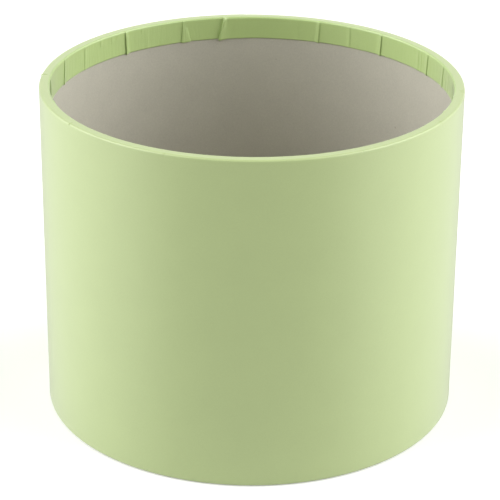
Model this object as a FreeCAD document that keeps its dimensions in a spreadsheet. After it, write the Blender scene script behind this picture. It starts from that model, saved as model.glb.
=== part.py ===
import FreeCAD, Part

import math
import os

import Sketcher

# A round flower box: two rings of greyboard glued one inside the other, a greyboard base held in the
# rabbet under the inner ring, and one sheet of coloured paper wrapped round the outside and turned in
# over the rim and under the base. The box's axis is Z, its underside is at z = 0, and its back, where
# the paper's two ends overlap, is on the +Y side.

# Driving dimensions, in millimetres.
SIZES = {
    "outer_diameter": 180.0,  # over the cover paper
    "box_height": 145.5,  # underside to rim
    "board_gauge": 2.0,  # each of the wall's two greyboard plies, and the base
    "paper_gauge": 0.25,  # cover paper and base paper
    "tape_gauge": 0.15,  # gummed kraft tape
    "rim_turn_in": 10.4,  # depth of the cover paper inside the rim
    "base_turn_in": 12.0,  # width of the cover paper folded under the base
    "base_paper_inset": 2.5,  # from the box's edge to the edge of the base paper
    "edge_round": 0.6,  # rounding that handling and the paper's pull leave on the board's corners
    "seam_gap": 0.5,  # where the two ends of a bent board strip meet
    "tape_width": 25.0,  # seam tape, around the box
    "tape_end": 3.0,  # from each end of the outer ply to the end of its tape
    "lap_width": 10.0,  # overlap of the cover paper's two ends, around the box
}

# Radii and heights of the layers, as expressions on the sheet. A corner of a section names one of each,
# or "axis" for a corner on the box's own axis.
RADII = {
    "cover": "Sizes.outer_diameter / 2",
    "outer_ply": "Sizes.outer_diameter / 2 - Sizes.paper_gauge",
    "inner_ply": "Sizes.outer_diameter / 2 - Sizes.paper_gauge - Sizes.board_gauge",
    "bore": "Sizes.outer_diameter / 2 - Sizes.paper_gauge - 2 * Sizes.board_gauge",
    "mouth": "Sizes.outer_diameter / 2 - 2 * Sizes.paper_gauge - 2 * Sizes.board_gauge",
    "lap": "Sizes.outer_diameter / 2 + Sizes.paper_gauge",
    "tape": "Sizes.outer_diameter / 2 - Sizes.paper_gauge - Sizes.tape_gauge",
    "base_turn_in": "Sizes.outer_diameter / 2 - Sizes.base_turn_in",
    "base_paper": "Sizes.outer_diameter / 2 - Sizes.base_paper_inset",
    "base_paper_step": "Sizes.outer_diameter / 2 - Sizes.base_turn_in - Sizes.paper_gauge",
}
HEIGHTS = {
    "table": "0 * Sizes.box_height",
    "turn_in_under": "Sizes.paper_gauge",
    "board_under": "2 * Sizes.paper_gauge",
    "floor": "2 * Sizes.paper_gauge + Sizes.board_gauge",
    "board_top": "Sizes.box_height - Sizes.paper_gauge",
    "rim": "Sizes.box_height",
    "turn_in_end": "Sizes.box_height - Sizes.rim_turn_in",
    "tape_low": "2 * Sizes.paper_gauge + Sizes.tape_end",
    "tape_high": "Sizes.box_height - Sizes.paper_gauge - Sizes.tape_end",
    "lap_low": "2 * Sizes.paper_gauge + Sizes.edge_round",
    "lap_high": "Sizes.box_height - Sizes.paper_gauge - Sizes.edge_round",
}
PAPER_CORNER = "Sizes.edge_round + Sizes.paper_gauge"
BOARD_CORNER = "Sizes.edge_round"
TAPE_SECTION = [
    ("tape", "tape_low"),
    ("outer_ply", "tape_low"),
    ("outer_ply", "tape_high"),
    ("tape", "tape_high"),
]
BACK = 0  # degrees about the axis from the +Y side, towards -X
FRONT = 180
OVERLAP = 5.8  # the middle of the cover paper's overlap
VERTICAL_AXIS = -2  # Sketcher's own number for a sketch's vertical axis
ORIGIN_POINT = -1  # and for its origin
SAME_MM = 1e-4  # two sizes nearer than this are the same


def size_sheet(doc):
    """The spreadsheet that drives every size."""
    sheet = doc.addObject("Spreadsheet::Sheet", "Sizes")
    for row, (alias, value) in enumerate(SIZES.items(), start=1):
        sheet.set(f"A{row}", alias)
        sheet.set(f"B{row}", str(value))
        sheet.setAlias(f"B{row}", alias)
    doc.recompute()
    return sheet


def new_body(doc, label):
    """An empty body, named and labelled as the piece."""
    body = doc.addObject("PartDesign::Body", label)
    body.Label = label
    return body


def half_section(body, name, corners, turn=BACK):
    """A closed polygon in a plane that holds the box's axis. Each corner is a radius's name and a
    height's. The plane runs out along +Y, or is turned about the axis by turn degrees."""
    sketch = body.newObject("Sketcher::SketchObject", name)
    plane = next(f for f in body.Origin.OriginFeatures if f.Role == "YZ_Plane")
    sketch.AttachmentSupport = [(plane, "")]
    sketch.MapMode = "FlatFace"
    spin = FreeCAD.Rotation(FreeCAD.Vector(0, 1, 0), turn)
    sketch.AttachmentOffset = FreeCAD.Placement(FreeCAD.Vector(), spin)
    count = len(corners)
    start = [
        FreeCAD.Vector(math.cos(2 * math.pi * i / count), math.sin(2 * math.pi * i / count), 0)
        for i in range(count)
    ]
    for i in range(count):
        sketch.addGeometry(Part.LineSegment(start[i], start[(i + 1) % count]), False)
    for i in range(count):
        sketch.addConstraint(Sketcher.Constraint("Coincident", i, 2, (i + 1) % count, 1))
    for i, (radius, height) in enumerate(corners):
        if radius == "axis":
            sketch.addConstraint(Sketcher.Constraint("PointOnObject", i, 1, VERTICAL_AXIS))
        else:
            place_corner(sketch, "DistanceX", i, RADII[radius])
        place_corner(sketch, "DistanceY", i, HEIGHTS[height])
    body.Document.recompute()
    if not sketch.FullyConstrained:
        raise RuntimeError(f"{body.Label}: {name} is not fully constrained")
    return sketch


def place_corner(sketch, kind, corner, expression):
    """One coordinate of a polygon's corner, bound to the sheet."""
    number = sketch.addConstraint(Sketcher.Constraint(kind, ORIGIN_POINT, 1, corner, 1, 1.0))
    sketch.setExpression(f"Constraints[{number}]", expression)


def turned(body, name, corners, arc=None, middle=BACK, kind="PartDesign::Revolution"):
    """A half section turned about the axis: all the way, or over an arc whose middle is at an angle
    from the +Y side."""
    sketch = half_section(body, name + "_section", corners, middle)
    feature = body.newObject(kind, name)
    feature.Profile = sketch
    feature.ReferenceAxis = (sketch, ["V_Axis"])
    feature.Angle = 360
    if arc:
        feature.Midplane = True
        feature.setExpression("Angle", arc)
    body.Document.recompute()
    return feature


def arc_over(length, radius):
    """The angle that a length along the wall takes up, at one of the RADII."""
    return f"{length} / ({RADII[radius]}) * 180 / pi"


def bent_strip(radius):
    """The angle that a board strip covers when its ends are brought together at that radius."""
    return f"360 - {arc_over('Sizes.seam_gap', radius)}"


def cut_something(feature):
    """Stops if a groove took nothing from the solid before it."""
    if feature.Shape.Volume > feature.BaseFeature.Shape.Volume - SAME_MM:
        raise RuntimeError(f"{feature.Label} cut nothing")


def rounded(body, name, base, circles, radius):
    """A fillet on the base feature's circular edges, each given as a radius and a height."""
    edges = []
    for number, edge in enumerate(base.Shape.Edges, start=1):
        if not isinstance(edge.Curve, Part.Circle):
            continue
        for circle_radius, height in circles:
            near = abs(edge.Curve.Radius - circle_radius) < SAME_MM
            if near and abs(edge.Curve.Center.z - height) < SAME_MM:
                edges.append(f"Edge{number}")
    fillet = body.newObject("PartDesign::Fillet", name)
    fillet.Base = (base, edges)
    fillet.setExpression("Radius", radius)
    body.Document.recompute()
    return fillet


def wall_outer_ply(doc, at):
    """The outer greyboard ring: full height, seam at the back, with its tape pressed into the board."""
    body = new_body(doc, "wall_outer_ply")
    section = [
        ("inner_ply", "board_under"),
        ("outer_ply", "board_under"),
        ("outer_ply", "board_top"),
        ("inner_ply", "board_top"),
    ]
    ring = turned(body, "ring", section, bent_strip("outer_ply"), FRONT)
    corners = [(at["outer_ply"], at["board_under"]), (at["outer_ply"], at["board_top"])]
    rounded(body, "soft_corners", ring, corners, BOARD_CORNER)
    arc = arc_over("Sizes.tape_width", "outer_ply")
    bed = turned(body, "tape_bed", TAPE_SECTION, arc, kind="PartDesign::Groove")
    cut_something(bed)
    return body


def wall_inner_ply(doc, at):
    """The inner greyboard ring: it stands on the base, and its seam is at the front."""
    body = new_body(doc, "wall_inner_ply")
    section = [
        ("bore", "floor"),
        ("inner_ply", "floor"),
        ("inner_ply", "board_top"),
        ("bore", "board_top"),
    ]
    ring = turned(body, "ring", section, bent_strip("bore"), BACK)
    rounded(body, "soft_corner", ring, [(at["bore"], at["board_top"])], BOARD_CORNER)
    return body


def outer_seam_tape(doc, at):
    """Gummed kraft tape that holds the outer ply's seam shut while the cover goes on."""
    body = new_body(doc, "outer_seam_tape")
    turned(body, "strip", TAPE_SECTION, arc_over("Sizes.tape_width", "outer_ply"))
    return body


def base_board(doc, at):
    """The greyboard disc: inside the outer ply, under the inner one."""
    body = new_body(doc, "base_board")
    turned(
        body,
        "disc",
        [
            ("axis", "board_under"),
            ("inner_ply", "board_under"),
            ("inner_ply", "floor"),
            ("axis", "floor"),
        ],
    )
    return body


def cover_paper(doc, at):
    """The coloured sheet: round the wall, over the rim, down inside it and in under the base."""
    body = new_body(doc, "cover_paper")
    wrap = turned(
        body,
        "wrap",
        [
            ("cover", "turn_in_under"),
            ("cover", "rim"),
            ("mouth", "rim"),
            ("mouth", "turn_in_end"),
            ("bore", "turn_in_end"),
            ("bore", "board_top"),
            ("outer_ply", "board_top"),
            ("outer_ply", "board_under"),
            ("base_turn_in", "board_under"),
            ("base_turn_in", "turn_in_under"),
        ],
    )
    outside = [
        (at["cover"], at["turn_in_under"]),
        (at["cover"], at["rim"]),
        (at["mouth"], at["rim"]),
    ]
    inside = [
        (at["bore"], at["board_top"]),
        (at["outer_ply"], at["board_top"]),
        (at["outer_ply"], at["board_under"]),
    ]
    folds = rounded(body, "folds_outside", wrap, outside, PAPER_CORNER)
    rounded(body, "folds_inside", folds, inside, BOARD_CORNER)
    lap = [("cover", "lap_low"), ("lap", "lap_low"), ("lap", "lap_high"), ("cover", "lap_high")]
    turned(body, "lap", lap, arc_over("Sizes.lap_width", "cover"), middle=OVERLAP)
    return body


def base_paper(doc, at):
    """The disc of cover paper under the base. It hides the turn-in's cut edge and dips in behind it."""
    body = new_body(doc, "base_paper")
    turned(
        body,
        "dished_disc",
        [
            ("axis", "turn_in_under"),
            ("base_paper_step", "turn_in_under"),
            ("base_paper_step", "table"),
            ("base_paper", "table"),
            ("base_paper", "turn_in_under"),
            ("base_turn_in", "turn_in_under"),
            ("base_turn_in", "board_under"),
            ("axis", "board_under"),
        ],
    )
    return body


def layer_values():
    """RADII and HEIGHTS in millimetres, for finding the edges to round."""
    half = SIZES["outer_diameter"] / 2
    paper = SIZES["paper_gauge"]
    board = SIZES["board_gauge"]
    height = SIZES["box_height"]
    return {
        "cover": half,
        "outer_ply": half - paper,
        "bore": half - paper - 2 * board,
        "mouth": half - 2 * paper - 2 * board,
        "turn_in_under": paper,
        "board_under": 2 * paper,
        "board_top": height - paper,
        "rim": height,
    }


def check(doc, bodies):
    """Stops before anything is written if a feature failed or a piece isn't one valid solid."""
    for item in doc.Objects:
        if "Invalid" in item.State or "Error" in item.State:
            raise RuntimeError(f"{item.Label} is {item.State}")
    for body in bodies:
        shape = body.Shape
        if shape.isNull() or not shape.isValid() or len(shape.Solids) != 1:
            raise RuntimeError(f"{body.Label} is not one valid solid")


def main():
    doc = FreeCAD.newDocument("flower_box")
    size_sheet(doc)
    at = layer_values()
    pieces = [wall_inner_ply, wall_outer_ply, outer_seam_tape, base_board, cover_paper, base_paper]
    bodies = [make(doc, at) for make in pieces]
    doc.recompute()
    check(doc, bodies)
    os.makedirs("parts", exist_ok=True)
    for body in bodies:
        body.Shape.exportStep(f"parts/{body.Label}.step")
        box = body.Shape.BoundBox
        print(f"{body.Label}: {body.Shape.Volume:.0f} mm3, z {box.ZMin:.2f} to {box.ZMax:.2f}")


main()
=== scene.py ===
import math

import bpy
import numpy as np
from mathutils import Matrix, Vector


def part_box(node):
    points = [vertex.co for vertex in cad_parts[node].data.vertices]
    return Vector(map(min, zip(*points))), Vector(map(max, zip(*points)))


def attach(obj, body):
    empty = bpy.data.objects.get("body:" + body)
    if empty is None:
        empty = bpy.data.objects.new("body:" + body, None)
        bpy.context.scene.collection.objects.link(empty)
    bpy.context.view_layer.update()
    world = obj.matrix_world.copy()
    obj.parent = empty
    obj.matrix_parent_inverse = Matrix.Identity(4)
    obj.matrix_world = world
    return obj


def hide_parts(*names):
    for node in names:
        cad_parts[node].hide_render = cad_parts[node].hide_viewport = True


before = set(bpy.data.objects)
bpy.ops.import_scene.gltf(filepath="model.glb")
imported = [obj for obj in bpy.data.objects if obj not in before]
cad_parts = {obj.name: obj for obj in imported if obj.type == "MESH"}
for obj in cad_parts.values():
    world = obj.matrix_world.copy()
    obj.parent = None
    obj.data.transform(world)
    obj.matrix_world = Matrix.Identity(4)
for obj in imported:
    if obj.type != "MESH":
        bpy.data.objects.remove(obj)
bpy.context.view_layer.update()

# Looks for a round flower box: greyboard rings and base, covered in one sheet of green paper that is
# turned in over the rim and under the base. Lengths are millimetres until a mesh is made. The camera, the
# stage and the depths of bumps are in metres, and say so.
# Azimuths are degrees about the box's axis: 0 at the back (+Y), positive towards +X.

MM = 0.001

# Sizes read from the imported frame
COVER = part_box("cover_paper")
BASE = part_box("base_board")
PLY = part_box("wall_inner_ply")
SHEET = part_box("base_paper")
HEIGHT = COVER[1].z / MM
GAUGE = COVER[0].z / MM  # one layer of paper: the cover starts on top of the base paper
BOARD = (BASE[1].z - BASE[0].z) / MM
OUTER = round(PLY[1].x / MM + BOARD + GAUGE, 1)  # rounded, as a mesh's flats cut inside its circle
BORE = OUTER - GAUGE - 2 * BOARD
MOUTH = BORE - GAUGE
SHEET_RADIUS = round(SHEET[1].y / MM, 1)

# The paper's folds
CORNER = 0.85  # rounding over the board's edges
BACK = CORNER - GAUGE  # the same, on the paper's hidden side
RIM_TURN_IN = 10.4
BASE_TURN_IN = 12.0
CUT_BEVEL = 0.07

# The overlap of the sheet's two ends: azimuths of its cut edge and of the end hidden under it
LAP_EDGE = -9.0
LAP_END = -2.6
LAP_STEP = 0.12  # how far round the box the paper takes to drop at the cut edge
LAP_SLOPE = 2.4  # and to lie down over the hidden end
# How much of its step shows on each part of the sheet, as it is pressed flatter over the rim
LAP_SHOWS = {"wall": 1.0, "rim": 0.25, "inside": 0.4, "turn_in": 0.6, "cut": 0.6}

# The cut edge inside the rim. A wave is how many go round the box, a height and a start in degrees.
EDGE_WAVES = ((1, 0.62, 68.0), (2, -0.42, 10.0))
EDGE_PULL = 0.14  # how much a fold shortens the paper beside it, as a share of the fold's lift
EDGE_PULL_REACH = 7.0
EDGE_RIPPLE = 0.10

# Small pleats under the base
BASE_PLEATS = 34
BASE_PLEAT_LOW, BASE_PLEAT_HIGH = 0.08, 0.19

# The board under the paper is not quite true
WALL_WAVE = 0.05
WALL_WAVE_LENGTH = 21.0  # up the wall, divided by two pi


# ---------------------------------------------------------------- curves and meshes


def smooth(x):
    """0 below 0, 1 above 1, and an even curve between."""
    x = np.clip(x, 0.0, 1.0)
    return x * x * (3 - 2 * x)


def wrap(angle):
    """Degrees, brought to -180 up to 180."""
    return (np.asarray(angle) + 180.0) % 360.0 - 180.0


def arc_mm(angle, radius):
    """Length along a circle."""
    return np.radians(angle) * radius


def ripple(angle, waves, seed):
    """A smooth closed curve round the box, between about -1 and 1, made of a few seeded waves."""
    draw = np.random.default_rng(seed)
    total = np.zeros_like(np.asarray(angle, float))
    for count in waves:
        size = draw.uniform(0.5, 1.0)
        total += size * np.sin(np.radians(angle) * count + draw.uniform(0, 2 * math.pi))
    return total / len(waves)


def wrap_map(azimuth, along, faces_shape):
    """The UV map's values, corner by corner: millimetres round the box and along the section."""
    rows, cols = faces_shape
    round_mm = np.radians((azimuth[0] - azimuth[0, 0]) % 360.0) * OUTER
    round_mm = np.append(round_mm, 2 * math.pi * OUTER)
    along = np.append(along, along[0])
    u0 = np.broadcast_to(round_mm[None, :cols], faces_shape)
    u1 = np.broadcast_to(round_mm[None, 1:], faces_shape)
    v0 = np.broadcast_to(along[:rows, None], faces_shape)
    v1 = np.broadcast_to(along[1:, None], faces_shape)
    return np.stack([u0, v0, u0, v1, u1, v1, u1, v0], axis=-1).reshape(-1)


def grid_object(name, radius, azimuth, height, along):
    """A closed mesh from a grid of points, one row per step of a section and one column per azimuth. It
    closes on itself round the box and across the section. along is the length of the section at each
    row, for the UV map "wrap"."""
    rows, cols = radius.shape
    turn = np.radians(azimuth)
    points = np.stack([radius * np.sin(turn), radius * np.cos(turn), height], axis=-1) * MM
    index = np.arange(rows * cols).reshape(rows, cols)
    below = np.roll(index, -1, axis=0)
    faces = np.stack([index, below, np.roll(below, -1, axis=1), np.roll(index, -1, axis=1)], axis=-1)
    mesh = bpy.data.meshes.new(name)
    mesh.from_pydata(points.reshape(-1, 3).tolist(), [], faces.reshape(-1, 4).tolist())
    uv = wrap_map(azimuth, along, (rows, cols))
    mesh.uv_layers.new(name="wrap").data.foreach_set("uv", uv.astype(np.float32))
    mesh.polygons.foreach_set("use_smooth", np.ones(len(mesh.polygons), bool))
    mesh.update()
    obj = bpy.data.objects.new(name, mesh)
    bpy.context.scene.collection.objects.link(obj)
    return obj


def store(obj, name, values):
    """A number at every vertex, for a material to read."""
    layer = obj.data.attributes.new(name, "FLOAT", "POINT")
    layer.data.foreach_set("value", np.asarray(values, np.float32).reshape(-1))


# ---------------------------------------------------------------- the cover paper's pleats


class Pleat:
    """One fold of the paper inside the rim. top and bottom are its azimuths at the rim and at the cut
    edge. side is 1 where the paper is raised on the fold's clockwise side (seen from above) and -1 on
    the other. lift is the raised paper's height. tail is how far it takes to lie down again, at the rim
    and at the cut edge. slit is the depth of the gap under the fold. start and reach are the depths
    where it begins and ends. soft is how far it is a rounded step (1) instead of a sharp fold (0). flat
    says that the paper lies down in a straight slope instead of a curve."""

    def __init__(self, top, bottom, side, lift, tail, slit, start=0.0, reach=None, soft=0.0, flat=False):
        self.top = top
        self.bottom = bottom
        self.side = side
        self.lift = lift
        self.tail = tail
        self.slit = slit
        self.start = start
        self.reach = reach
        self.soft = soft
        self.flat = flat

    def risen(self, depth):
        """How far the fold has risen, 0 to 1, at a depth below the rim: fast to nearly a half, then
        slowly."""
        below = depth - self.start
        up = smooth((below + 0.2) / 0.9) * (0.45 + 0.55 * smooth(below / 3.5))
        if self.reach:
            up = up * (1 - smooth((depth - 0.5 * self.reach) / (0.5 * self.reach)))
        return up

    def azimuth(self, share):
        """Where the fold is, at a share of the way down the turn-in."""
        return self.top + (self.bottom - self.top) * share

    def height(self, distance, share):
        """The raised paper's height as a share of its lift, at a distance on its own side."""
        tail = self.tail[0] + (self.tail[1] - self.tail[0]) * share
        x = np.clip(distance / tail, 0.0, 1.0)
        down = 1 - x if self.flat else 1 - smooth(x)
        return np.where(distance >= 0, down, 0.0)


# The back half follows the object. The front half, out of sight, goes on in the same way.
PLEATS = [
    Pleat(-90.2, -90.6, 1, 0.34, (1.2, 1.6), 0.40),
    Pleat(-72.8, -73.8, 1, 0.34, (1.4, 2.0), 0.32),
    Pleat(-60.2, -60.5, 1, 0.17, (1.6, 2.0), 0.11),
    Pleat(-52.6, -52.4, 1, 0.20, (2.0, 2.0), 0.15, reach=3.9),
    Pleat(-47.9, -47.8, 1, 0.14, (1.6, 1.6), 0.10, reach=4.4),
    Pleat(-45.6, -45.5, 1, 0.10, (1.6, 1.6), 0.06, reach=3.0),
    Pleat(-42.2, -42.0, 1, 0.64, (1.4, 2.2), 0.60),
    Pleat(-36.2, -36.0, 1, 0.10, (2.0, 2.0), 0.06, reach=3.4),
    Pleat(-33.6, -33.5, -1, 0.06, (1.5, 2.0), 0.0, soft=1.0),
    Pleat(-21.9, -22.7, 1, 0.52, (0.9, 1.2), 0.36),
    Pleat(-20.9, -19.3, -1, 0.42, (1.2, 1.6), 0.16, start=3.6, soft=0.3),
    Pleat(LAP_EDGE, -10.5, 1, 1.10, (0.9, 4.5), 1.00, start=-1.2, flat=True),
    Pleat(14.5, 14.6, -1, 0.05, (2.0, 3.0), 0.0, soft=1.0),
    Pleat(21.35, 21.0, -1, 0.42, (0.9, 1.1), 0.30, soft=0.6),
    Pleat(31.5, 31.5, -1, 0.13, (1.6, 2.2), 0.08, soft=0.2),
    Pleat(43.2, 42.8, -1, 0.43, (1.0, 1.5), 0.30),
    Pleat(59.9, 59.7, -1, 0.13, (1.4, 1.8), 0.08, soft=0.5),
    Pleat(61.4, 61.2, -1, 0.11, (1.0, 1.2), 0.06, soft=0.5),
    Pleat(65.0, 64.4, -1, 0.30, (1.6, 2.4), 0.23),
    Pleat(76.0, 75.3, -1, 0.22, (1.1, 1.5), 0.20),
    Pleat(78.6, 78.2, -1, 0.07, (0.8, 1.0), 0.05, soft=0.6),
    Pleat(81.2, 80.9, -1, 0.05, (0.8, 1.0), 0.04, soft=0.6),
    Pleat(88.9, 88.0, -1, 0.08, (1.2, 1.6), 0.06),
    Pleat(101.8, 102.3, -1, 0.38, (3.0, 4.0), 0.30),
    Pleat(113.5, 112.9, -1, 0.66, (4.0, 6.0), 0.50),
    Pleat(124.6, 124.9, -1, 0.24, (2.0, 2.4), 0.18, reach=5.2),
    Pleat(133.0, 134.3, 1, 0.58, (2.0, 4.6), 0.45, flat=True),
    Pleat(147.9, 147.2, -1, 0.46, (3.0, 5.0), 0.35),
    Pleat(160.3, 160.6, 1, 0.30, (2.4, 3.0), 0.22),
    Pleat(171.6, 171.0, -1, 0.64, (3.0, 6.0), 0.50),
    Pleat(-173.0, -173.4, 1, 0.36, (2.0, 4.0), 0.30),
    Pleat(-159.2, -158.4, 1, 0.60, (3.0, 5.0), 0.45),
    Pleat(-146.8, -147.0, 1, 0.20, (2.0, 2.0), 0.14, reach=4.6),
    Pleat(-138.1, -139.2, 1, 0.70, (3.0, 6.0), 0.50),
    Pleat(-121.7, -121.3, 1, 0.34, (3.0, 4.0), 0.28),
    Pleat(-108.0, -108.9, 1, 0.56, (3.0, 5.0), 0.42),
]

# Across a fold, from the lower paper to the raised side: where the column stands when the paper is flat,
# where it goes when it is folded, how much of the slit's depth is added to that, and its height as a
# share of the lift. The paper dips beside the fold, and the middle ones run into the slit and back out
# under the fold's edge.
FOLD_SECTION = [
    (-0.80, -0.80, 0.0, 0.00),
    (-0.62, -0.45, 0.0, 0.00),
    (-0.46, -0.22, 0.0, 0.00),
    (-0.34, -0.06, 0.0, -0.14),
    (-0.24, 0.00, 0.6, -0.14),
    (-0.14, 0.00, 1.0, 0.02),
    (-0.05, 0.00, 0.7, 0.42),
    (0.05, 0.00, 0.1, 0.55),
    (0.14, -0.06, 0.0, 0.68),
    (0.24, -0.04, 0.0, 0.84),
    (0.34, 0.06, 0.0, 0.96),
    (0.46, 0.22, 0.0, 1.00),
    (0.62, 0.45, 0.0, 0.99),
    (0.80, 0.80, 0.0, 0.97),
]
FOLD_HALF = 0.9  # no other column stands nearer a fold than this

# Creases across the rim's outer edge: azimuth, depth, and how far in from the edge they run
RIM_MARKS = [
    (-86.5, 0.60, 3.0),
    (-125.5, 0.24, 2.0),
    (-158.0, 0.12, 1.4),
    (96.9, 0.34, 2.6),
    (121.4, 0.20, 2.2),
    (151.0, 0.12, 1.5),
]
VALLEY_WIDTH = 0.16
RIDGE_HEIGHT, RIDGE_PLACE, RIDGE_WIDTH = 0.45, 0.46, 0.25  # the low ridge beside a crease

# Columns of the grid besides the folds' own, as distances from a crease and from the hidden end
MARK_OFFSETS = (-0.9, -0.45, -0.22, -0.09, 0.0, 0.09, 0.22, 0.45, 0.9)
LAP_OFFSETS = (-2.0, -1.2, -0.6, 0.0, 0.6, 1.2, 2.0)
EXTRA_HALF = 0.25  # no plain column stands nearer one of these than this
SPACING = 1.2  # between plain columns


def clear(azimuth, taken):
    """Whether an azimuth is outside every one of the ranges taken, each a middle and half a width."""
    return all(abs(wrap(azimuth - middle)) > half for middle, half in taken)


def extra_azimuths():
    """Where the rim's creases and the overlap's hidden end need columns close together."""
    extra = []
    for azimuth, _, _ in RIM_MARKS:
        extra += [azimuth + math.degrees(x / OUTER) for x in MARK_OFFSETS]
    return extra + [LAP_END + math.degrees(x / OUTER) for x in LAP_OFFSETS]


def column_list():
    """Columns of the cover paper's grid in order round the box, starting at the overlap's edge: the
    azimuth at the rim, the pleat's number or -1, and the fold section's row."""
    entries = []
    for number, pleat in enumerate(PLEATS):
        for row, (stand, _, _, _) in enumerate(FOLD_SECTION):
            shift = math.degrees(pleat.side * stand / MOUTH)
            entries.append((pleat.top + shift, number, row))
    fold_half = math.degrees(FOLD_HALF / MOUTH)
    taken = [(pleat.top, fold_half) for pleat in PLEATS]
    extra = extra_azimuths()
    entries += [(azimuth, -1, 0) for azimuth in extra if clear(azimuth, taken)]
    taken += [(azimuth, math.degrees(EXTRA_HALF / OUTER)) for azimuth in extra]
    count = int(2 * math.pi * MOUTH / SPACING)
    plain = [360.0 * i / count for i in range(count)]
    entries += [(azimuth, -1, 0) for azimuth in plain if clear(azimuth, taken)]
    start = LAP_EDGE - fold_half
    entries.sort(key=lambda entry: (entry[0] - start) % 360.0)
    azimuth = np.array([start + (entry[0] - start) % 360.0 for entry in entries])
    pleat = np.array([entry[1] for entry in entries])
    row = np.array([entry[2] for entry in entries])
    return azimuth, pleat, row


def turn_in_depth(azimuth):
    """Depth of the paper's cut edge inside the rim, which a maker's scissors leave a little uneven."""
    wave = sum(size * np.cos(np.radians(count * azimuth + turn)) for count, size, turn in EDGE_WAVES)
    step = np.zeros_like(azimuth)
    for pleat in PLEATS:
        if pleat.reach is None:
            away = arc_mm(wrap(azimuth - pleat.bottom), MOUTH) * pleat.side
            beside = np.where(away > 0, 1 - smooth(away / EDGE_PULL_REACH), 0.0)
            step -= EDGE_PULL * pleat.lift * beside
    return RIM_TURN_IN + wave + step + EDGE_RIPPLE * ripple(azimuth, (11, 17, 29, 43), 3)


def lap_height(azimuth):
    """The overlap: a cut edge on one side, and on the other the paper lying down over the hidden end."""
    past_edge = arc_mm(wrap(azimuth - LAP_EDGE), OUTER)
    past_end = arc_mm(wrap(azimuth - LAP_END), OUTER)
    return GAUGE * smooth(past_edge / LAP_STEP + 0.5) * (1 - smooth(past_end / LAP_SLOPE + 0.5))


def base_pleats(azimuth):
    """Small pleats where the paper turns in under the base."""
    draw = np.random.default_rng(11)
    total = np.zeros_like(azimuth)
    for i in range(BASE_PLEATS):
        middle = 360.0 * (i + draw.uniform(-0.3, 0.3)) / BASE_PLEATS
        away = arc_mm(wrap(azimuth - middle), OUTER) * draw.choice((-1.0, 1.0))
        shape = smooth(away + 0.6) * (1 - smooth((away - 0.4) / 4.0))
        total = np.maximum(total, draw.uniform(BASE_PLEAT_LOW, BASE_PLEAT_HIGH) * shape)
    return total


def fold_shear(azimuth):
    """How far each azimuth leans between the rim and the cut edge, taken from the folds beside it."""
    tops = np.array([pleat.top for pleat in PLEATS]) % 360.0
    lean = np.array([pleat.bottom - pleat.top for pleat in PLEATS])
    order = np.argsort(tops)
    return np.interp(np.asarray(azimuth) % 360.0, tops[order], lean[order], period=360.0)


# ---------------------------------------------------------------- the cover paper's section


# A row of the section is a radius, a height, the two parts of its outward normal, and the name of the part
# of the sheet it is on. On the turn-in, the cut edge and behind them, the height is a share of the way
# down. Nothing is raised on the hidden side, so its rows stay where they are.


def corner(centre_r, centre_z, radius, first, last, steps, part):
    """Rows between the ends of an arc, which is given by its first and last angles."""
    rows = []
    for i in range(1, steps):
        angle = math.radians(first + (last - first) * i / steps)
        nr, nz = math.cos(angle), math.sin(angle)
        rows.append((centre_r + radius * nr, centre_z + radius * nz, nr, nz, part))
    return rows


def outside_rows():
    """From the turn-in's inner end under the base, out, up the wall and over the rim."""
    under = [OUTER - BASE_TURN_IN, SHEET_RADIUS - 4.0, SHEET_RADIUS - 0.6, SHEET_RADIUS - 0.1]
    under += list(np.linspace(SHEET_RADIUS + 0.3, OUTER - CORNER, 4))
    low, high = GAUGE + CORNER, HEIGHT - CORNER
    up = np.concatenate([[low, low + 1.5], np.linspace(low + 6, high - 6, 11), [high - 1.5, high]])
    rows = [(r, GAUGE, 0.0, -1.0, "base") for r in under]
    rows += corner(OUTER - CORNER, low, CORNER, -90, 0, 6, "wall")
    rows += [(OUTER, z, 1.0, 0.0, "wall") for z in up]
    rows += corner(OUTER - CORNER, high, CORNER, 0, 90, 8, "rim")
    rows += [(r, HEIGHT, 0.0, 1.0, "rim") for r in np.linspace(OUTER - CORNER, MOUTH + CORNER, 8)]
    return rows


def inside_rows():
    """Over the rim's inner corner, down to the cut edge, through the paper and up behind it."""
    rows = corner(MOUTH + CORNER, HEIGHT - CORNER, CORNER, 90, 180, 8, "inside")
    rows += [(MOUTH, share, -1.0, 0.0, "turn_in") for share in np.linspace(0.0, 1.0, 27)]
    rows += [(MOUTH + CUT_BEVEL, 1.0, -0.7, -0.7, "cut"), (BORE, 1.0, 0.0, -1.0, "cut")]
    rows += [(BORE, share, 0.0, 0.0, "back_in") for share in (0.85, 0.4, 0.0)]
    return rows


def hidden_rows():
    """Back along the board, over the rim, down the wall and in under the base."""
    outer, high, low = OUTER - GAUGE, HEIGHT - GAUGE, 2 * GAUGE
    rows = corner(BORE + BACK, high - BACK, BACK, 180, 90, 4, "back")
    rows += [(r, high, 0.0, 0.0, "back") for r in (BORE + BACK, outer - BACK)]
    rows += corner(outer - BACK, high - BACK, BACK, 90, 0, 4, "back")
    rows += [(outer, z, 0.0, 0.0, "back") for z in (high - BACK, HEIGHT / 2, low + BACK)]
    rows += corner(outer - BACK, low + BACK, BACK, 0, -90, 4, "back")
    rows += [(r, low, 0.0, 0.0, "back") for r in (outer - BACK, OUTER - BASE_TURN_IN)]
    return rows


# ---------------------------------------------------------------- the cover paper


def hang_turn_in(height, part, azimuth):
    """Turns the share of the way down, on the rows inside the rim, into a height for each column. Returns
    the share, which is 0 on all other rows."""
    share = np.zeros(height.shape)
    down = np.isin(part, ["turn_in", "cut", "back_in"])
    share[down] = height[down]
    lowest = HEIGHT - turn_in_depth(azimuth)
    highest = HEIGHT - CORNER
    height[down] = highest + (lowest - highest)[None, :] * share[down]
    return share


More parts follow.
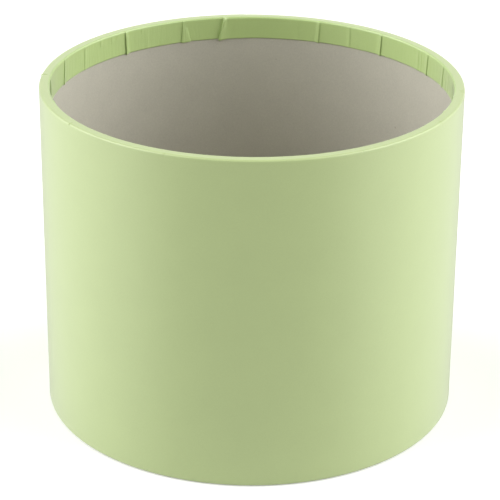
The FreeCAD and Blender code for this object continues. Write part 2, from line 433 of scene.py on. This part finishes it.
def fold_room(part, normal_r, shape):
    """How much of a fold there is at each row: none outside, rising over the rim's inner corner."""
    room = np.zeros(shape)
    room[np.isin(part, ["turn_in", "cut"])] = 1.0
    over = part == "inside"
    room[over] = smooth((-normal_r[over]) ** 1.5) * 0.9
    return room


def fold_paper(place, share, depth, room, pleat_number, fold_row):
    """Makes every fold: columns on it are spread or doubled back, which changes their azimuths in place.
    Returns the height of the raised paper."""
    lift = np.zeros(place.shape)
    for number, pleat in enumerate(PLEATS):
        on_it = pleat_number == number
        strength = pleat.risen(depth) * room
        away = arc_mm(wrap(place - pleat.azimuth(share)), MOUTH) * pleat.side
        raised = pleat.lift * strength * pleat.height(away, share)
        raised[:, on_it] = 0.0
        lift = np.maximum(lift, raised)
        stand, offset, into_slit, rise = np.array(FOLD_SECTION)[fold_row[on_it]].T
        slit = into_slit * pleat.slit * (1 - pleat.soft)
        weight = smooth(strength[:, on_it] * 2.5)  # columns are in place once it has risen 0.4
        moved = ((offset - stand) * (1 - pleat.soft) + slit)[None, :] * weight * pleat.side
        place[:, on_it] += np.degrees(moved / MOUTH)
        own = pleat.lift * rise[None, :] * strength[:, on_it]
        lift[:, on_it] = np.maximum(lift[:, on_it], own) + np.minimum(own, 0.0)
    return lift


def rim_creases(azimuth, part, radius):
    """Creases across the rim's outer edge: a narrow valley with a low ridge beside it."""
    inward = np.where(part == "rim", OUTER - radius, OUTER)  # out of a crease's reach on other parts
    total = np.zeros((len(part), len(azimuth)))
    for mark_azimuth, depth, length in RIM_MARKS:
        across = arc_mm(wrap(azimuth - mark_azimuth), OUTER)
        valley = -np.exp(-((across / VALLEY_WIDTH) ** 2))
        valley += RIDGE_HEIGHT * np.exp(-(((across - RIDGE_PLACE) / RIDGE_WIDTH) ** 2))
        fade = 1 - smooth((inward - 0.4 * length) / (0.6 * length))
        total += depth * valley[None, :] * fade[:, None]
    return total


def wall_wave(azimuth, part, height):
    """The board's unevenness, on the wall only, and none of it at the foot."""
    wave = WALL_WAVE * ripple(azimuth, (5, 9, 14), 7)[None, :] * np.cos(height / WALL_WAVE_LENGTH)
    return (part == "wall")[:, None] * wave * smooth((height - 2) / 10)


def cover_paper():
    """The green sheet, with its pleats, overlap, creased rim and uneven cut edge."""
    rows = outside_rows() + inside_rows() + hidden_rows()
    azimuth, pleat_number, fold_row = column_list()
    part = np.array([row[4] for row in rows])
    section = np.array([row[:4] for row in rows])
    radius = np.repeat(section[:, 0:1], len(azimuth), axis=1)
    height = np.repeat(section[:, 1:2], len(azimuth), axis=1)
    normal_r, normal_z = section[:, 2:3], section[:, 3:4]

    share = hang_turn_in(height, part, azimuth)
    place = azimuth[None, :] + fold_shear(azimuth)[None, :] * share
    room = fold_room(part, normal_r, radius.shape)
    bump = fold_paper(place, share, HEIGHT - height, room, pleat_number, fold_row)

    pressed = np.array([LAP_SHOWS.get(name, 0.0) for name in part])
    bump = bump + lap_height(place) * pressed[:, None]
    under = (part == "base") & (radius[:, 0] > SHEET_RADIUS)
    bump[under] += base_pleats(azimuth)
    bump += rim_creases(azimuth, part, radius[:, 0])
    bump += wall_wave(azimuth, part, height)
    radius += bump * normal_r
    height += bump * normal_z

    step = np.hypot(np.diff(radius[:, 0]), np.diff(height[:, 0]))
    along = np.concatenate([[0.0], np.cumsum(step)])
    obj = grid_object("cover_sheet", radius, place, height, along)
    inside = np.isin(part, ["inside", "turn_in", "cut"])
    store(obj, "inside", np.broadcast_to(inside[:, None], radius.shape))
    return obj


# ---------------------------------------------------------------- materials


# Colours are linear. Depths of bumps are in metres.
COVER_COLOUR = (0.493, 0.600, 0.262, 1.0)
# painted light: the same paper in a fuller green where it is turned in, for how it looks inside the rim
INSIDE_PAINTED_COLOUR = (0.478, 0.628, 0.238, 1.0)
COVER_ROUGH = 0.38
COVER_GLOSS = 1.0
COVER_SHEEN = 0.6
SHEEN_ROUGH = 0.4
GATHER_SCALE = (0.55, 0.09, 1.0)  # gathers: one or two millimetres wide and several long
GATHER_DEPTH = 0.00022
FIBRE_DEPTH = 0.00004
BOARD_COLOUR = (0.516, 0.493, 0.419, 1.0)
FLECK_COLOUR = (0.40, 0.37, 0.30, 1.0)
BOARD_ROUGH = 0.75
PULP_DEPTH = 0.00006
TAPE_DARK = (0.33, 0.19, 0.09, 1.0)
TAPE_LIGHT = (0.42, 0.26, 0.13, 1.0)


class Nodes:
    """A node tree being written: add() makes a node with its inputs set or linked."""

    def __init__(self, owner):
        owner.use_nodes = True
        self.owner = owner
        self.tree = owner.node_tree
        self.tree.nodes.clear()

    def feed(self, socket, value):
        """Links a socket, or sets it."""
        if isinstance(value, bpy.types.NodeSocket):
            self.tree.links.new(value, socket)
        else:
            socket.default_value = value

    def add(self, kind, inputs=None, **settings):
        node = self.tree.nodes.new(kind)
        for key, value in settings.items():
            setattr(node, key, value)
        for key, value in (inputs or {}).items():
            self.feed(node.inputs[key], value)
        return node

    def noise(self, vector, scale, detail=2.0, roughness=0.5):
        found = self.add(
            "ShaderNodeTexNoise",
            {"Vector": vector, "Scale": scale, "Detail": detail, "Roughness": roughness},
        )
        return found.outputs["Fac"]

    def ramp(self, value, first, last):
        """A ramp of greys between two stops, each a place and a level."""
        node = self.add("ShaderNodeValToRGB", {"Fac": value})
        for element, (place, level) in zip(node.color_ramp.elements, (first, last)):
            element.position = place
            element.color = grey(level)
        return node.outputs["Color"]

    def mix(self, factor, a, b, blend="MIX"):
        """Colours mixed. The node has sockets for other types too, so they are found by number."""
        node = self.add("ShaderNodeMix", data_type="RGBA", blend_type=blend)
        self.feed(node.inputs[0], factor)
        self.feed(node.inputs[6], a)
        self.feed(node.inputs[7], b)
        return node.outputs[2]

    def tinted(self, colour, value, reach, dark, bright):
        """A colour made darker or brighter, from one grey level to another, by a value within a reach."""
        low, high = reach
        tone = self.mix(self.ramp(value, (low, 0.0), (high, 1.0)), grey(dark), grey(bright))
        return self.mix(1.0, colour, tone, "MULTIPLY")

    def math(self, operation, a, b):
        return self.add("ShaderNodeMath", {0: a, 1: b}, operation=operation).outputs[0]

    def finish(self, **inputs):
        """The shader, with its inputs by name (_ for a space), and the material's output."""
        shader = self.add("ShaderNodeBsdfPrincipled", {k.replace("_", " "): v for k, v in inputs.items()})
        out = self.add("ShaderNodeOutputMaterial")
        self.tree.links.new(shader.outputs["BSDF"], out.inputs["Surface"])
        return self.owner


def grey(level):
    return (level, level, level, 1.0)


def cover_material():
    """Coloured paper: fine fibres, a soft mottle, and fine gathers where it is turned in. The colour is a
    little fuller inside the rim: painted light, the same paper tinted for how it looks in the light there."""
    n = Nodes(bpy.data.materials.new("cover paper"))
    place = n.add("ShaderNodeTexCoord").outputs["Object"]
    inside = n.add("ShaderNodeAttribute", attribute_name="inside").outputs["Fac"]
    fibres = n.noise(place, 1800.0, 3.0, 0.6)
    cloud = n.noise(place, 60.0, 4.0, 0.6)
    # painted light: the paper inside the rim is tinted a fuller green for the light there
    colour = n.mix(inside, COVER_COLOUR, INSIDE_PAINTED_COLOUR)
    colour = n.tinted(colour, fibres, (0.35, 0.65), 0.985, 1.015)
    colour = n.tinted(colour, cloud, (0.3, 0.7), 0.985, 1.01)
    wrapped = n.add("ShaderNodeUVMap", uv_map="wrap").outputs["UV"]
    stretched = n.add("ShaderNodeMapping", {"Vector": wrapped, "Scale": GATHER_SCALE}).outputs["Vector"]
    gathers = n.math("MULTIPLY", n.noise(stretched, 1.0, 2.0, 0.6), inside)
    folds = n.add("ShaderNodeBump", {"Height": gathers, "Strength": 0.5, "Distance": GATHER_DEPTH})
    grain = {"Height": fibres, "Strength": 0.25, "Distance": FIBRE_DEPTH}
    bump = n.add("ShaderNodeBump", {**grain, "Normal": folds.outputs["Normal"]})
    return n.finish(
        Base_Color=colour,
        Roughness=COVER_ROUGH,
        Specular_IOR_Level=COVER_GLOSS,
        Sheen_Weight=COVER_SHEEN,
        Sheen_Roughness=SHEEN_ROUGH,
        Normal=bump.outputs["Normal"],
    )


def board_material(name):
    """Raw greyboard: warm grey recycled pulp with fine grain and a few darker flecks."""
    n = Nodes(bpy.data.materials.new(name))
    place = n.add("ShaderNodeTexCoord").outputs["Object"]
    grain = n.noise(place, 1400.0, 4.0, 0.7)
    cloud = n.noise(place, 90.0, 3.0, 0.6)
    flecks = n.ramp(n.noise(place, 420.0, 1.0, 0.5), (0.79, 0.0), (0.85, 1.0))
    colour = n.tinted(BOARD_COLOUR, grain, (0.3, 0.7), 0.93, 1.06)
    colour = n.tinted(colour, cloud, (0.3, 0.7), 0.98, 1.02)
    colour = n.mix(flecks, colour, FLECK_COLOUR)
    bump = n.add("ShaderNodeBump", {"Height": grain, "Strength": 0.3, "Distance": PULP_DEPTH})
    return n.finish(Base_Color=colour, Roughness=BOARD_ROUGH, Normal=bump.outputs["Normal"])


def tape_material():
    """Brown kraft tape."""
    n = Nodes(bpy.data.materials.new("kraft tape"))
    place = n.add("ShaderNodeTexCoord").outputs["Object"]
    fibres = n.noise(place, 900.0, 4.0, 0.6)
    colour = n.mix(n.ramp(fibres, (0.3, 0.0), (0.7, 1.0)), TAPE_DARK, TAPE_LIGHT)
    return n.finish(Base_Color=colour, Roughness=0.5)


def paint(obj, material):
    obj.data.materials.clear()
    obj.data.materials.append(material)


# ---------------------------------------------------------------- light


# Brightness of the surround, by direction
SIDES_HIGH = 3.75  # large soft lights to the left and right, from above
SIDES_LEVEL = 1.9  # the same, level with the box
SIDES_LOW = 0.8  # and from below it
FILL = 0.58  # on the camera's side, from above
UNDER = 0.25  # light thrown up by the surface that the box stands on
FOREGROUND = 0.32  # more of it, on the camera's side
BACKDROP = 0.75  # the pale background, beyond the box

# Directions in degrees. Turns are measured from the camera's side, and heights from the horizon. A band
# says where it starts, is full, fades and ends. An edge says where it is dark and where it is bright.
SIDES = (36, 72, 108, 144)
NEAR = (72, 36)
FAR = (108, 144)
ABOVE = (0, 25, 50, 75)
LEVEL = (-25, 0, 0, 25)
LOW = (-75, -50, -25, 0)
BELOW = (0, -25)
BACKDROP_BAND = (-75, -50, 5, 30)


def edge(n, angle, dark, bright):
    """0 on one side of an angle's edge, 1 on the other, and an even curve between the two places."""
    low, high = sorted((math.radians(dark), math.radians(bright)))
    ends = {"From Min": low, "From Max": high}
    ends.update({"To Min": float(dark > bright), "To Max": float(bright > dark)})
    step = n.add("ShaderNodeMapRange", {"Value": angle, **ends}, interpolation_type="SMOOTHSTEP")
    return step.outputs[0]


def band(n, angle, start, full, fade, end):
    """1 between full and fade, with soft edges that begin at start and finish at end."""
    return n.math("MINIMUM", edge(n, angle, start, full), edge(n, angle, end, fade))


def surround():
    """Soft light from both sides, from below and from beyond, and very little from the camera's side."""
    world = bpy.data.worlds.new("surround")
    bpy.context.scene.world = world
    n = Nodes(world)
    way = n.add("ShaderNodeSeparateXYZ", {0: n.add("ShaderNodeTexCoord").outputs["Generated"]}).outputs
    towards_camera = n.math("MULTIPLY", way["Y"], -1.0)
    turn = n.math("ABSOLUTE", n.math("ARCTAN2", way["X"], towards_camera), 0.0)
    height = n.math("ARCSINE", way["Z"], 0.0)
    sides, near, far = band(n, turn, *SIDES), edge(n, turn, *NEAR), edge(n, turn, *FAR)
    above, below = band(n, height, *ABOVE), edge(n, height, *BELOW)
    patches = [
        (SIDES_HIGH, n.math("MULTIPLY", sides, above)),
        (SIDES_LEVEL, n.math("MULTIPLY", sides, band(n, height, *LEVEL))),
        (SIDES_LOW, n.math("MULTIPLY", sides, band(n, height, *LOW))),
        (FILL, n.math("MULTIPLY", near, above)),
        (UNDER, below),
        (FOREGROUND, n.math("MULTIPLY", near, below)),
        (BACKDROP, n.math("MULTIPLY", far, band(n, height, *BACKDROP_BAND))),
    ]
    total = 0.0
    for level, patch in patches:
        total = n.math("ADD", n.math("MULTIPLY", patch, level), total)
    light = n.add("ShaderNodeBackground", {"Strength": total, "Color": grey(1.0)})
    out = n.add("ShaderNodeOutputWorld")
    n.tree.links.new(light.outputs[0], out.inputs["Surface"])


# ---------------------------------------------------------------- stage and camera


# The stage, in metres
FLOOR_SIZE = 6.0
FLOOR_COLOUR = (0.90, 0.90, 0.90, 1.0)
FLOOR_GLOW = 0.20  # brings the floor up to the white of the background
DISC_RADIUS = (OUTER + 70.0) * MM  # 70 millimetres beyond the box
DISC_DEPTH = 0.0002
DISC_GREY = 0.55  # darker than the floor, as the surround gives part of the floor's light

# The camera, in metres and degrees, at the photograph's viewing angle
AIM = Vector((-0.00022, 0.0, 0.06644))
DISTANCE = 0.9149
ELEVATION = 24.65
ROLL = 0.0085  # radians
SENSOR, LENS = 36.0, 149.79  # millimetres
NEAREST, FARTHEST = 0.05, 20.0


def bounce_disc():
    """A disc just below the floor, which throws light up close to the box and has the box's own shadow
    on it. Neither the camera nor reflections see it."""
    bpy.ops.mesh.primitive_cylinder_add(vertices=96, radius=DISC_RADIUS, depth=DISC_DEPTH)
    disc = bpy.context.object
    disc.name = "bounce_disc"
    disc.location.z = -DISC_DEPTH
    disc.visible_glossy = False
    disc.visible_camera = False
    n = Nodes(bpy.data.materials.new("bounce"))
    paint(disc, n.finish(Base_Color=grey(DISC_GREY), Roughness=1.0))


def white_floor():
    """A plain white floor that only the camera sees. The light that it would throw up comes from the
    surround and from the disc."""
    bpy.ops.mesh.primitive_plane_add(size=FLOOR_SIZE, location=(0, 0, 0))
    floor = bpy.context.object
    floor.name = "floor"
    floor.visible_diffuse = False
    floor.visible_glossy = False
    floor.visible_shadow = False
    n = Nodes(bpy.data.materials.new("floor"))
    material = n.finish(
        Base_Color=FLOOR_COLOUR,
        Roughness=0.9,
        Emission_Color=grey(1.0),
        Emission_Strength=FLOOR_GLOW,
    )
    paint(floor, material)


def camera():
    """The photograph's viewing angle."""
    elevation = math.radians(ELEVATION)
    back = Vector((0, -math.cos(elevation), math.sin(elevation)))
    data = bpy.data.cameras.new("camera")
    data.sensor_width = SENSOR
    data.lens = LENS
    data.clip_start = NEAREST
    data.clip_end = FARTHEST
    obj = bpy.data.objects.new("camera", data)
    obj.location = AIM + back * DISTANCE
    turn = (-back).to_track_quat("-Z", "Y").to_matrix()
    spin = Vector((0, 0, 1))
    obj.rotation_euler = (turn @ Matrix.Rotation(ROLL, 3, spin)).to_euler()
    bpy.context.scene.collection.objects.link(obj)
    bpy.context.scene.camera = obj
    bpy.context.scene.view_settings.view_transform = "Standard"


camera()
surround()
bounce_disc()
white_floor()
paper = cover_material()
sheet = cover_paper()
paint(sheet, paper)
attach(sheet, "root")
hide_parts("cover_paper")
board = board_material("greyboard")
for node in ("wall_inner_ply", "wall_outer_ply", "base_board"):
    paint(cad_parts[node], board)
paint(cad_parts["outer_seam_tape"], tape_material())
paint(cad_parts["base_paper"], paper)
